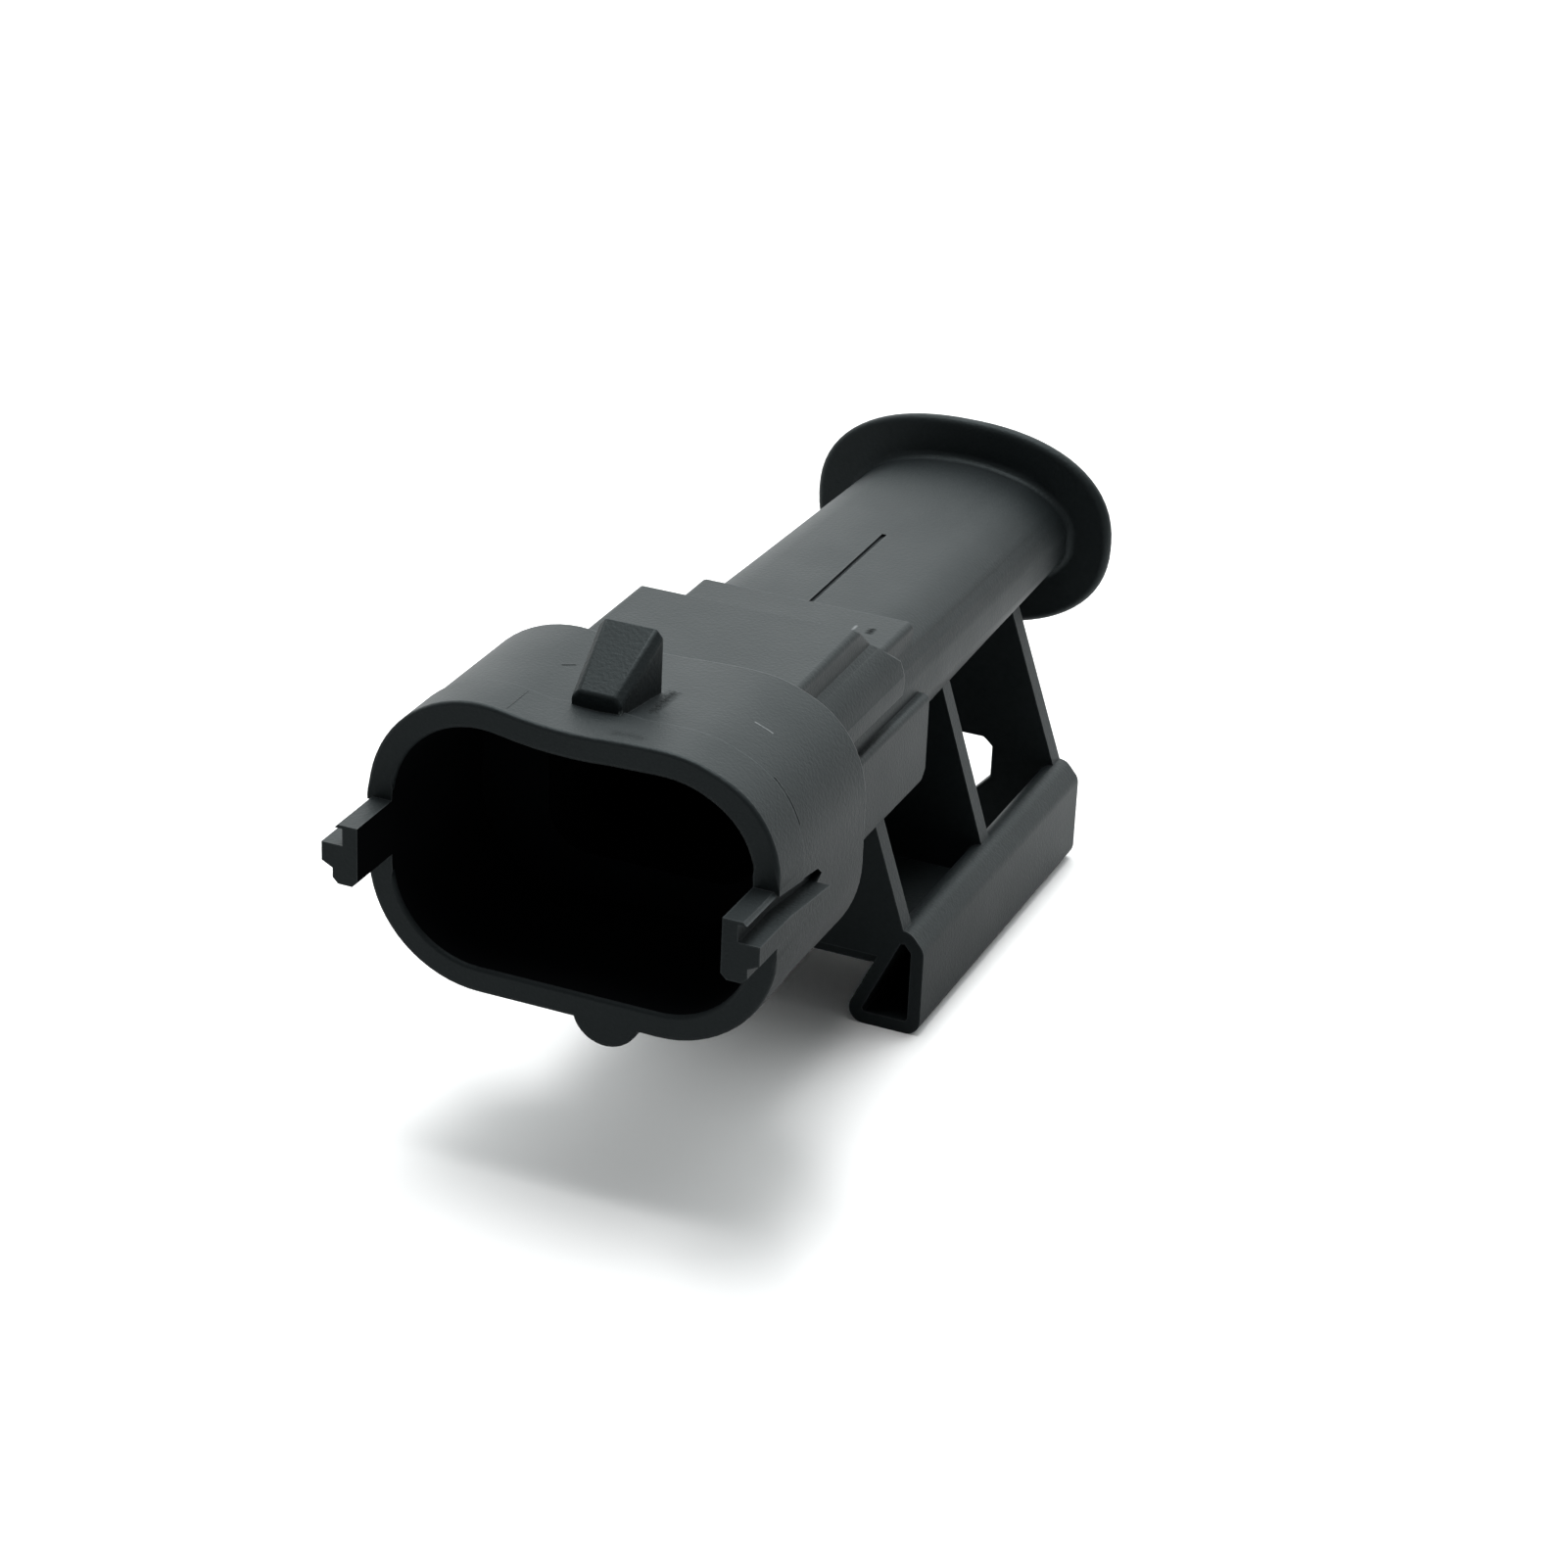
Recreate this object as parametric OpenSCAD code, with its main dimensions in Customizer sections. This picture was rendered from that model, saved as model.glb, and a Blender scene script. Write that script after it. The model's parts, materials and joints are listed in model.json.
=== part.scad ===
// Sealed two-way automotive connector, male blade half, with its wire seals and mounting bracket.
// Millimetres. X is the width, +Y runs from the mouth to the wire end, +Z is up.
// The origin is the centre of the mouth.

/* [Shroud] */
// Outer width of the shroud
shroud_w = 24; // [22:0.1:28]
// Outer height of the shroud
shroud_h = 17.1; // [16:0.1:20]
// Outer corner radius of the shroud
shroud_r = 6.7; // [5:0.1:7.5]
// Wall of the shroud
shroud_wall = 1.5; // [1:0.1:2]
// Length of the shroud
shroud_len = 11.8; // [10:0.1:16]
// How far the top of the shroud dips in its middle
top_dip = 0.5; // [0.2:0.05:0.8]
// Thickness of the wall that closes the shroud's back
back_wall = 1.3; // [1:0.1:2]
// Length of the thicker collar behind the rim
collar_len = 3.2; // [2:0.1:5]
// How far the collar stands proud of the shroud behind it
collar_step = 0.1; // [0.05:0.01:0.2]

/* [Latch ramp] */
// Width of the latch ramp
latch_w = 3.8; // [3:0.1:5]
// Distance from the rim to the ramp's front face
latch_y = 2.8; // [2:0.1:4]
// Length of the ramp
latch_len = 4.2; // [3:0.1:5]
// Height of the ramp's front face above the shroud
latch_low = 0.75; // [0.4:0.05:1.5]
// Height of the ramp's catch face above the shroud
latch_high = 3.1; // [2.5:0.1:4]
// Bevel along the ramp's upper edges
latch_bevel = 0.4; // [0.2:0.05:0.6]

/* [Side keys] */
// How far the side keys reach out past the rim
key_reach = 3.8; // [2:0.1:5]
// Height of a side key
key_h = 3.5; // [3:0.1:4.5]
// Thickness of a side key inside its tongue
key_web = 1.5; // [1.3:0.1:2]
// How far a key's tongue stands proud of the shroud's side
tongue_proud = 0.65; // [0.3:0.05:1]
// Height of the tongue
tongue_h = 1.1; // [0.8:0.1:1.6]
// Length of the tongue and groove behind the rim
tongue_len = 5.3; // [4:0.1:8]
// Depth of the groove above the tongue
groove_depth = 0.6; // [0.3:0.05:0.9]
// Height of the groove above the tongue
groove_h = 1; // [0.6:0.05:1.2]
// How far the groove falls from the rim to its end
groove_fall = 0.6; // [0.3:0.05:0.7]

/* [Bottom key] */
// Sideways place of the half-round key under the mouth
under_key_x = 2.25; // [1:0.05:4]
// Radius of the half-round key
under_key_r = 2; // [1.5:0.1:2.5]
// How far the half-round key stands below the shroud
under_key_proud = 1.35; // [0.8:0.05:1.6]
// Length of the half-round key
under_key_len = 8; // [5:0.5:10]

/* [Body] */
// Width of the hood behind the shroud
hood_w = 13.6; // [13:0.1:15]
// Height of the hood's top above the mouth's centre
hood_top = 6.6; // [6:0.1:7.5]
// Length of the hood
hood_len = 10.5; // [8:0.1:13]
// Height of the hood's upright side
hood_side = 1.5; // [1:0.1:2]
// Slope of the hood's rear end, in degrees from level
hood_slope = 39; // [30:1:60]
// Edge rounding of the hood and the terminal block
body_round = 0.4; // [0.1:0.05:0.6]
// Radius of the rounded shoulders beside the hood
shoulder_r = 3.4; // [3:0.1:3.6]
// Width across the rounded shoulders
shoulder_w = 16.7; // [16:0.1:17.5]
// Height of the shoulders' underside above the mouth's centre
shoulder_under = 1.5; // [1:0.1:2]
// Length of the shoulders
shoulder_len = 14.2; // [11:0.1:16]
// Width of the terminal block behind the hood
block_w = 13.5; // [13:0.1:14.5]
// Height of the terminal block's top above the mouth's centre
block_top = 3.75; // [3.6:0.05:4.5]
// Length of the terminal block from the shroud's back
block_len = 19.2; // [17:0.1:22]
// Width of the lower block
lower_w = 16; // [15:0.1:18]
// Height of the lower block's top above the mouth's centre
lower_top = -0.5; // [-1:0.1:0]
// Height of the lower block's underside above the mouth's centre
lower_bottom = -6.1; // [-7:0.1:-5.5]
// Bevel of the lower block's rear bottom edge
lower_bevel = 0.8; // [0.4:0.1:1.5]

/* [Wire tube] */
// Width of the wire tube
tube_w = 14.7; // [14.2:0.1:16]
// Height of the wire tube
tube_h = 7.4; // [7:0.1:9]
// Corner radius of the wire tube
tube_r = 3; // [2:0.1:3.4]
// Height of the tube's axis above the mouth's centre
tube_z = -0.3; // [-0.5:0.05:0]
// Distance from the mouth to the end flange
tube_end = 56.3; // [54:0.1:62]
// Radius of the fillet between the tube and its flange
flange_fillet = 0.5; // [0.2:0.1:1]
// Width of the end flange
flange_w = 19.5; // [18:0.1:22]
// Height of the end flange
flange_h = 13; // [12.8:0.1:15]
// Corner radius of the end flange
flange_r = 6.3; // [5:0.1:6.3]
// Thickness of the end flange
flange_t = 0.9; // [0.6:0.05:1.5]
// Width of the marking groove along the tube's top
mark_w = 0.3; // [0.2:0.05:0.6]
// Depth of the marking groove
mark_depth = 0.2; // [0.1:0.05:0.3]
// Length of the marking groove
mark_len = 12; // [8:0.5:16]

/* [Bracket] */
// Distance from the mouth to the first rib
rib_y = 25.3; // [24:0.1:27]
// Spacing of the three ribs
rib_pitch = 12.55; // [11.5:0.05:13]
// Thickness of a rib
rib_t = 1.2; // [0.8:0.05:1.6]
// Width of the first rib where it leaves the lower block
rib_top_w = 13.4; // [12:0.1:15]
// Width of the ribs at the rails
rib_foot_w = 18.8; // [18:0.1:19.4]
// Height of the ribs' lower edge above the rails' soles
rib_gap = 4.65; // [4:0.05:5]
// Height of the rails' tops above their soles
rail_h = 6.7; // [6.2:0.1:7.5]
// Overall width across the rails
rail_w = 21.5; // [20.8:0.1:23]
// Clear width between the rails' inner lips
lip_gap = 12.5; // [11:0.1:13]
// Distance from the mouth's centre down to the rails' soles
sole_drop = 19.75; // [18:0.05:22]
// Wall of the cored rails
rail_wall = 0.8; // [0.6:0.05:0.85]
// Edge radius of the rails
rail_round = 0.95; // [0.9:0.05:1.1]
// Width of the window in the last rib
window_w = 10.4; // [9:0.1:11]
// Height of the window in the last rib
window_h = 4.7; // [3.5:0.1:5]
// Bevel of the window's upper corners
window_bevel = 0.6; // [0.3:0.1:1]
// How far the window's lower corners slope in
window_slope_w = 1.8; // [0.5:0.1:3]
// How high the slope of the window's lower corners reaches
window_slope_h = 2; // [0.5:0.1:3]
// Height of the window's lower edge above the rails' soles
window_sill = 2.95; // [2:0.05:3.5]

/* [Terminal cavities] */
// Width of the nose cavity behind the shroud
nose_w = 12.8; // [12:0.1:13]
// Height of the nose cavity
nose_h = 9; // [8:0.1:9]
// Corner radius of the nose cavity
nose_r = 2.5; // [1:0.1:3]
// Length of the nose cavity behind the mouth's floor
nose_len = 14; // [10:0.1:15]
// Thickness of the wall between the nose cavity and the terminal cavities
partition_t = 1.5; // [1:0.1:2.5]
// Distance between the two wire bores
bore_pitch = 6.6; // [6.3:0.05:6.8]
// Diameter of a wire bore where its seal sits
bore_d = 5.4; // [5.2:0.05:5.6]
// Diameter of a wire bore's wider entry, behind its seal
entry_d = 5.8; // [5.65:0.05:5.8]
// Distance from a seal to the wider entry behind it
entry_gap = 0.5; // [0.3:0.1:1]
// Bevel at a wire bore's open end and where its entry widens
bore_bevel = 0.3; // [0.1:0.05:0.4]
// Width of a terminal pocket
pocket_w = 3.3; // [3.2:0.05:3.6]
// Height of a terminal pocket
pocket_h = 4.4; // [4.3:0.05:4.6]
// Length of a terminal pocket
pocket_len = 6.4; // [6:0.1:8]
// Depth of the recess for a terminal's lance, above its pocket
lance_recess = 0.7; // [0.65:0.05:1]
// Length of the stop behind the lance
lance_stop = 0.9; // [0.6:0.1:1.5]

/* [Terminals] */
// Width of a blade
blade_w = 2.8; // [2:0.1:3]
// Thickness of a blade
blade_t = 0.8; // [0.6:0.05:1]
// Length of a blade in front of the partition
blade_len = 8.5; // [6:0.1:11]
// Taper length of a blade's tip
blade_tip = 1; // [0.5:0.1:1.5]
// Width of the folded box behind a blade
box_w = 2.4; // [2.2:0.05:2.4]
// Height of the folded box
box_h = 3.6; // [3.2:0.05:3.6]
// Sheet thickness of a terminal
sheet_t = 0.35; // [0.25:0.05:0.4]
// Sheet thickness of a terminal's sleeve
sleeve_t = 0.25; // [0.2:0.05:0.25]
// Outer diameter of the closed conductor crimp
crimp_d = 2.1; // [1.8:0.1:2.4]
// Length of the conductor crimp
crimp_len = 2.6; // [2:0.1:3]
// Length of the grip that holds the seal's neck
grip_len = 2.6; // [2:0.1:3]
// Opening left between the wings of the grip, in degrees
grip_opening = 20; // [5:5:60]
// Length of the necks before and after the conductor crimp
neck_run = 0.9; // [0.6:0.1:1.4]
// Width of the sleeve's locking lance
lance_w = 1.5; // [1:0.1:1.8]
// Length of the lance
lance_len = 3; // [2:0.1:4]
// How far the lance's free end stands up
lance_lift = 0.6; // [0.3:0.05:0.65]

/* [Wire seals] */
// Diameter of a seal's neck
neck_d = 3.5; // [3:0.1:3.6]
// Length of a seal's neck
neck_len = 2.9; // [2:0.1:4]
// Length of a seal's lipped part
lips_len = 4.5; // [4:0.1:6]
// Number of lips
lips = 3; // [2:1:4]
// Diameter of a seal between its lips
core_d = 4; // [3.8:0.1:4.4]
// Diameter of a seal's wire hole
wire_hole_d = 1.7; // [1.2:0.1:2]

/* [Clearances] */
// Width of the cuts round a lance and along a sleeve's seam
seam_gap = 0.15; // [0.1:0.01:0.3]
// Gap round a blade in its slot
slot_gap = 0.1; // [0.05:0.01:0.2]
// Gap between a terminal and its sleeve
sleeve_gap = 0.05; // [0.02:0.01:0.1]
// Gap between a terminal or its sleeve and the wall in front of it
stop_gap = 0.05; // [0.02:0.01:0.1]

/* [Hidden] */
$fn = 72;

// Places along Y, from the mouth to the wire end
mouth_floor = shroud_len - back_wall;
joined = mouth_floor + back_wall / 2;
nose_end = mouth_floor + nose_len;
partition_end = nose_end + partition_t;
pocket_end = partition_end + pocket_len;
block_end = shroud_len + block_len;
flange_end = tube_end + flange_t;
bracket_end = rib_y + 2 * rib_pitch + rib_t;
rail_crown = rail_h - sole_drop;
// How far the ribs sink into the tube's rounded sides
rib_bite = 0.1;

// Shroud outline: the centres of its corners, and the arc that dips its top
corner_x = shroud_w / 2 - shroud_r;
corner_z = shroud_h / 2 - shroud_r;
dip_angle = 2 * atan(top_dip / corner_x);
dip_reach = corner_x / sin(dip_angle);
dip_r = dip_reach - shroud_r;
dip_z = corner_z + dip_reach * cos(dip_angle);

// Terminals, along Y
blade_start = nose_end - blade_len;
sleeve_start = partition_end + stop_gap;
sleeve_len = pocket_len - 2 * stop_gap;
box_start = sleeve_start + sleeve_t + stop_gap;
box_end = sleeve_start + sleeve_len - stop_gap;
crimp_start = box_end + neck_run;
grip_start = crimp_start + crimp_len + neck_run;
seal_start = grip_start - stop_gap;
lips_start = seal_start + neck_len;
entry_start = lips_start + lips_len + entry_gap;
sleeve_w = box_w + 2 * (sleeve_gap + sleeve_t);
sleeve_h = box_h + 2 * (sleeve_gap + sleeve_t);

// An outline drawn in X and Z, carried along Y
module section(from, to) {
    translate([0, to, 0])
        rotate([90, 0, 0])
            linear_extrude(to - from)
                children();
}

// An outline drawn in Y and Z, carried along X about the middle
module profile(width) {
    rotate([90, 0, 90])
        linear_extrude(width, center = true)
            children();
}

// An outline drawn in radius and Y, turned about the Y axis
module turned(angle = 360, start = 0) {
    rotate([-90, 0, 0])
        rotate([0, 0, -start - angle])
            rotate_extrude(angle = angle)
                children();
}

module both_sides() {
    children();
    mirror([1, 0, 0]) children();
}

// Outward direction of the line that touches two discs on their right-hand side
function outward(a, b) =
    let (step = [b.x - a.x, b.y - a.y],
         along = step / norm(step),
         lean = (a.z - b.z) / norm(step),
         off = sqrt(1 - lean * lean))
    [along.x * lean + along.y * off, along.y * lean - along.x * off];

// The straights that wrap discs given as [x, z, radius] in anticlockwise order, with its corners cut flat
module flat_band(discs) {
    last = len(discs) - 1;
    polygon([for (i = [0:last])
        let (a = discs[i],
             b = discs[i == last ? 0 : i + 1],
             out = outward(a, b))
        each [[a.x + a.z * out.x, a.y + a.z * out.y], [b.x + b.z * out.x, b.y + b.z * out.y]]]);
}

// The same with round corners
module round_band(discs) {
    flat_band(discs);
    for (disc = discs)
        translate([disc.x, disc.y])
            circle(disc.z);
}

module round_rectangle(w, h, r) {
    x = w / 2 - r;
    z = h / 2 - r;
    round_band([[-x, -z, r], [x, -z, r], [x, z, r], [-x, z, r]]);
}

// One straight of a rim: the rim's section is drawn in outward distance and Y
module rim_straight(x, z, facing, run) {
    translate([x, 0, z])
        rotate([0, -facing, 0])
            linear_extrude(run)
                children();
}

module rim_corner(x, z, r, start, angle) {
    translate([x, 0, z])
        turned(angle, start)
            translate([r, 0])
                children();
}

// A rim round a rounded rectangle
module round_rim(w, h, r) {
    x = w / 2 - r;
    z = h / 2 - r;
    rim_corner(x, z, r, 0, 90) children();
    rim_corner(-x, z, r, 90, 90) children();
    rim_corner(-x, -z, r, 180, 90) children();
    rim_corner(x, -z, r, 270, 90) children();
    rim_straight(w / 2, -z, 0, 2 * z) children();
    rim_straight(x, h / 2, 90, 2 * x) children();
    rim_straight(-w / 2, z, 180, 2 * z) children();
    rim_straight(-x, -h / 2, 270, 2 * x) children();
}

// The shroud's outline, moved inwards
module shroud_outline(inset) {
    r = shroud_r - inset;
    touch_x = corner_x - r * sin(dip_angle);
    touch_z = corner_z + r * cos(dip_angle);
    difference() {
        polygon([
            [-corner_x, -corner_z - r], [corner_x, -corner_z - r], [corner_x, corner_z],
            [touch_x, touch_z], [-touch_x, touch_z], [-corner_x, corner_z]
        ]);
        translate([0, dip_z])
            circle(dip_r + inset, $fn = 360);
    }
    square([2 * (corner_x + r), 2 * corner_z], center = true);
    for (x = [-corner_x, corner_x], z = [-corner_z, corner_z])
        translate([x, z])
            circle(r);
}

module shroud() {
    difference() {
        union() {
            section(0, collar_len) shroud_outline(0);
            section(collar_len / 2, shroud_len) shroud_outline(collar_step);
        }
        section(-shroud_wall, mouth_floor) shroud_outline(shroud_wall);
    }
}

// Ramp that the mating half's spring clip rides over and catches behind
module latch_ramp() {
    root = shroud_h / 2 - top_dip - shroud_wall / 2;
    low = shroud_h / 2 + latch_low;
    high = shroud_h / 2 + latch_high;
    rear = latch_y + latch_len;
    slope = atan2(high - low, latch_len);
    difference() {
        profile(latch_w)
            polygon([[latch_y, root], [rear, root], [rear, high], [latch_y, low]]);
        both_sides()
            translate([latch_w / 2, latch_y, low])
                rotate([slope, 0, 0])
                    section(-latch_len, 2 * latch_len)
                        rotate(45)
                            square(latch_bevel * sqrt(2), center = true);
    }
}

// Key on the right-hand side: a web in line with the shroud's wall, and a tongue on its outer face
module side_key() {
    side = shroud_w / 2;
    inner = side - key_web;
    top = key_h / 2;
    bevel = tongue_proud / 2;
    section(-key_reach, collar_len)
        polygon([
            [inner, bevel - top], [inner + bevel, -top], [side - bevel, -top], [side, bevel - top],
            [side, top - bevel], [side - bevel, top], [inner, top]
        ]);
    intersection() {
        section(-key_reach, tongue_len)
            polygon([
                [inner, -tongue_h / 2 - bevel], [side, -tongue_h / 2 - bevel],
                [side + tongue_proud, -tongue_h / 2], [side + tongue_proud, tongue_h / 2],
                [inner, tongue_h / 2]
            ]);
        translate([side, 0, 0])
            profile(key_web * 2)
                polygon([
                    [-key_reach, -top], [tongue_len, -top], [tongue_len, tongue_h / 2 - groove_fall],
                    [0, tongue_h / 2], [-key_reach, tongue_h / 2]
                ]);
    }
}

// Groove above the tongue: it falls a little behind the rim and ends in a rounded pocket
module key_groove() {
    low = tongue_h / 2;
    translate([shroud_w / 2 - groove_depth + key_web, 0, 0])
        profile(2 * key_web)
            polygon([
                [-2 * key_reach, low], [0, low], [tongue_len, low - groove_fall],
                [tongue_len + groove_fall, low - groove_fall / 2],
                [tongue_len, low + groove_h / 2 - groove_fall / 2],
                [0, low + groove_h], [-2 * key_reach, low + groove_h]
            ]);
}

// Half-round key under the mouth
module under_key() {
    low = -shroud_h / 2 - under_key_proud;
    intersection() {
        translate([under_key_x, 0, low + under_key_r])
            section(0, under_key_len)
                circle(under_key_r);
        section(0, under_key_len)
            translate([under_key_x - under_key_r, low])
                square([2 * under_key_r, under_key_proud + shroud_wall / 2]);
    }
}

// The stepped body between the shroud and the wire tube
module hood() {
    x = shoulder_w / 2 - shoulder_r;
    edge = hood_top - hood_side;
    z = edge - sqrt(pow(shoulder_r, 2) - pow(hood_w / 2 - x, 2));
    hood_end = shroud_len + hood_len;
    shoulder_end = shroud_len + shoulder_len;
    intersection() {
        section(joined, shoulder_end) {
            translate([0, hood_top - hood_side])
                round_rectangle(hood_w, 2 * hood_side, body_round);
            intersection() {
                union() {
                    square([2 * x, 2 * edge], center = true);
                    for (side = [-x, x])
                        translate([side, z])
                            circle(shoulder_r);
                }
                translate([-shoulder_w / 2, shoulder_under])
                    square([shoulder_w, edge]);
            }
        }
        profile(shoulder_w)
            polygon([
                [joined, shoulder_under], [shoulder_end, shoulder_under],
                [shoulder_end, hood_top - (shoulder_end - hood_end) * tan(hood_slope)],
                [hood_end, hood_top], [joined, hood_top]
            ]);
    }
}

module terminal_block() {
    height = block_top - lower_top;
    section(joined, block_end)
        translate([0, block_top - height])
            round_rectangle(block_w, 2 * height, body_round);
}

module lower_block() {
    height = lower_top - lower_bottom;
    intersection() {
        section(joined, block_end)
            translate([0, lower_top - height / 2])
                round_rectangle(lower_w, height, body_round);
        profile(lower_w)
            polygon([
                [joined, lower_bottom], [block_end - lower_bevel, lower_bottom],
                [block_end, lower_bottom + lower_bevel], [block_end, lower_top], [joined, lower_top]
            ]);
    }
}

module wire_tube() {
    translate([0, 0, tube_z]) {
        section(joined, flange_end)
            round_rectangle(tube_w, tube_h, tube_r);
        translate([0, tube_end, 0])
            round_rim(tube_w, tube_h, tube_r)
                difference() {
                    translate([-flange_fillet, -flange_fillet])
                        square(2 * flange_fillet);
                    translate([flange_fillet, -flange_fillet])
                        circle(flange_fillet, $fn = 32);
                }
        section(tube_end, flange_end)
            round_rectangle(flange_w - flange_t, flange_h - flange_t, flange_r - flange_t / 2);
        translate([0, tube_end + flange_t / 2, 0])
            round_rim(flange_w - flange_t, flange_h - flange_t, flange_r - flange_t / 2)
                circle(flange_t / 2, $fn = 32);
    }
}

// Corner discs of the right-hand rail's section, made smaller by an inset where the rail is cored
function rail_discs(inset) =
    let (r = rail_round - inset,
         low = rail_round - sole_drop,
         high = rail_crown - rail_round,
         outer = rail_w / 2 - rail_round)
    [
        [lip_gap / 2 + rail_round, low, r], [outer, low, r],
        [outer, high - rail_round / 2, r], [rib_foot_w / 2, high, r]
    ];

module rail() {
    section(rib_y, bracket_end)
        round_band(rail_discs(0));
}

module rail_core() {
    section(rib_y - rib_t, bracket_end - rib_t)
        flat_band(rail_discs(rail_wall));
}

// A rib's outline from its top down to its lower edge between the rails
module rib_outline(top_w, top_z, to_z) {
    foot = rib_foot_w / 2;
    lean = (foot - lip_gap / 2 - rail_wall) / (rail_crown + sole_drop - rail_round);
    low = foot - rail_wall / 2 - (rail_crown - to_z) * lean;
    polygon([
        [-top_w / 2, top_z], [-foot, rail_crown], [-low, to_z],
        [low, to_z], [foot, rail_crown], [top_w / 2, top_z]
    ]);
}

module window_outline() {
    sill = window_sill - sole_drop;
    top = sill + window_h;
    side = window_w / 2;
    slope_top = sill + window_slope_h;
    polygon([
        [-side + window_bevel, top], [-side, top - window_bevel],
        [-side, slope_top], [-side + window_slope_w, sill],
        [side - window_slope_w, sill], [side, slope_top],
        [side, top - window_bevel], [side - window_bevel, top]
    ]);
}

module ribs() {
    lower_edge = rib_gap - sole_drop;
    corner = tube_r * (1 - cos(45));
    tube_side = tube_w - 2 * (corner + rib_bite);
    tube_bottom = tube_z - tube_h / 2 + corner;
    section(rib_y, rib_y + rib_t)
        rib_outline(rib_top_w, lower_bottom + rib_t, lower_edge);
    section(rib_y + rib_pitch, rib_y + rib_pitch + rib_t)
        rib_outline(tube_side, tube_bottom, lower_edge);
    difference() {
        section(bracket_end - rib_t, bracket_end)
            rib_outline(tube_side, tube_bottom, rib_t - sole_drop);
        section(bracket_end - 2 * rib_t, bracket_end + rib_t)
            window_outline();
    }
}

// What one terminal and its seal need inside the housing, on the axis of its bore
module terminal_way() {
    recess_top = sleeve_h / 2 + lance_recess;
    section(nose_end - slot_gap, partition_end + slot_gap)
        square([blade_t + 2 * slot_gap, blade_w + 2 * slot_gap], center = true);
    section(partition_end, pocket_end + slot_gap)
        square([pocket_w, pocket_h], center = true);
    section(sleeve_start + sleeve_t, pocket_end - lance_stop)
        translate([-lance_w / 2 - slot_gap, 0])
            square([lance_w + 2 * slot_gap, recess_top]);
    turned()
        polygon([
            [0, pocket_end], [bore_d / 2, pocket_end],
            [bore_d / 2, entry_start], [entry_d / 2, entry_start + bore_bevel],
            [entry_d / 2, flange_end - bore_bevel], [entry_d / 2 + bore_bevel, flange_end],
            [entry_d / 2 + bore_bevel, flange_end + bore_bevel], [0, flange_end + bore_bevel]
        ]);
}

module housing() {
    color("#26282a")
        difference() {
            union() {
                shroud();
                latch_ramp();
                both_sides() side_key();
                under_key();
                hood();
                terminal_block();
                lower_block();
                wire_tube();
                ribs();
                both_sides() rail();
            }
            both_sides() key_groove();
            both_sides() rail_core();
            section(mouth_floor - slot_gap, nose_end)
                round_rectangle(nose_w, nose_h, nose_r);
            for (side = [-1, 1])
                translate([side * bore_pitch / 2, 0, tube_z])
                    terminal_way();
            translate([-mark_w / 2, block_end, tube_z + tube_h / 2 - mark_depth])
                cube([mark_w, mark_len, 2 * mark_depth]);
        }
}

// A stamped and folded terminal, on the axis of its bore
module contact() {
    floor_z = -box_h / 2;
    grip_floor = -neck_d / 2 - sheet_t;
    color("#c9ccd0") {
        // Blade with a tapered tip, folded double, and running back into the box
        intersection() {
            profile(blade_t)
                polygon([
                    [blade_start, -blade_w / 2 + blade_tip / 2], [blade_start + blade_tip, -blade_w / 2],
                    [box_start + blade_w, -blade_w / 2], [box_start + blade_w, blade_w / 2],
                    [blade_start + blade_tip, blade_w / 2], [blade_start, blade_w / 2 - blade_tip / 2]
                ]);
            translate([0, 0, -blade_w / 2])
                linear_extrude(blade_w)
                    polygon([
                        [-blade_t / 4, blade_start], [blade_t / 4, blade_start],
                        [blade_t / 2, blade_start + blade_tip], [blade_t / 2, box_end],
                        [-blade_t / 2, box_end], [-blade_t / 2, blade_start + blade_tip]
                    ]);
        }
        // Folded box, closed in front round the blade
        section(box_start, box_start + sheet_t)
            square([box_w, box_h], center = true);
        section(box_start, box_end)
            difference() {
                square([box_w, box_h], center = true);
                square([box_w - 2 * sheet_t, box_h - 2 * sheet_t], center = true);
            }
        // Strip that joins the box, the conductor crimp and the grip
        profile(crimp_d - sheet_t)
            polygon([
                [box_end - sheet_t, floor_z], [crimp_start, floor_z], [grip_start, grip_floor],
                [grip_start + sheet_t, grip_floor], [grip_start + sheet_t, grip_floor + sheet_t],
                [crimp_start + crimp_len, floor_z + sheet_t], [box_end - sheet_t, floor_z + sheet_t]
            ]);
        // Conductor crimp: two wings curled in on the strip
        translate([0, 0, floor_z])
            section(crimp_start, crimp_start + crimp_len)
                crimp_outline();
        // Grip round the neck of the seal
        translate([0, grip_start, 0])
            turned(360 - grip_opening, 90 + grip_opening / 2)
                translate([neck_d / 2, 0])
                    square([sheet_t, grip_len]);
    }
}

module crimp_outline() {
    lobe = crimp_d / 4;
    height = 3 * lobe;
    difference() {
        union() {
            translate([0, height / 2])
                round_rectangle(crimp_d, height, lobe);
            for (side = [-1, 1])
                translate([side * lobe, height - lobe / 2])
                    circle(lobe);
        }
        translate([0, height / 2])
            round_rectangle(crimp_d - 2 * sheet_t, height - 2 * sheet_t, lobe / 2);
    }
}

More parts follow.
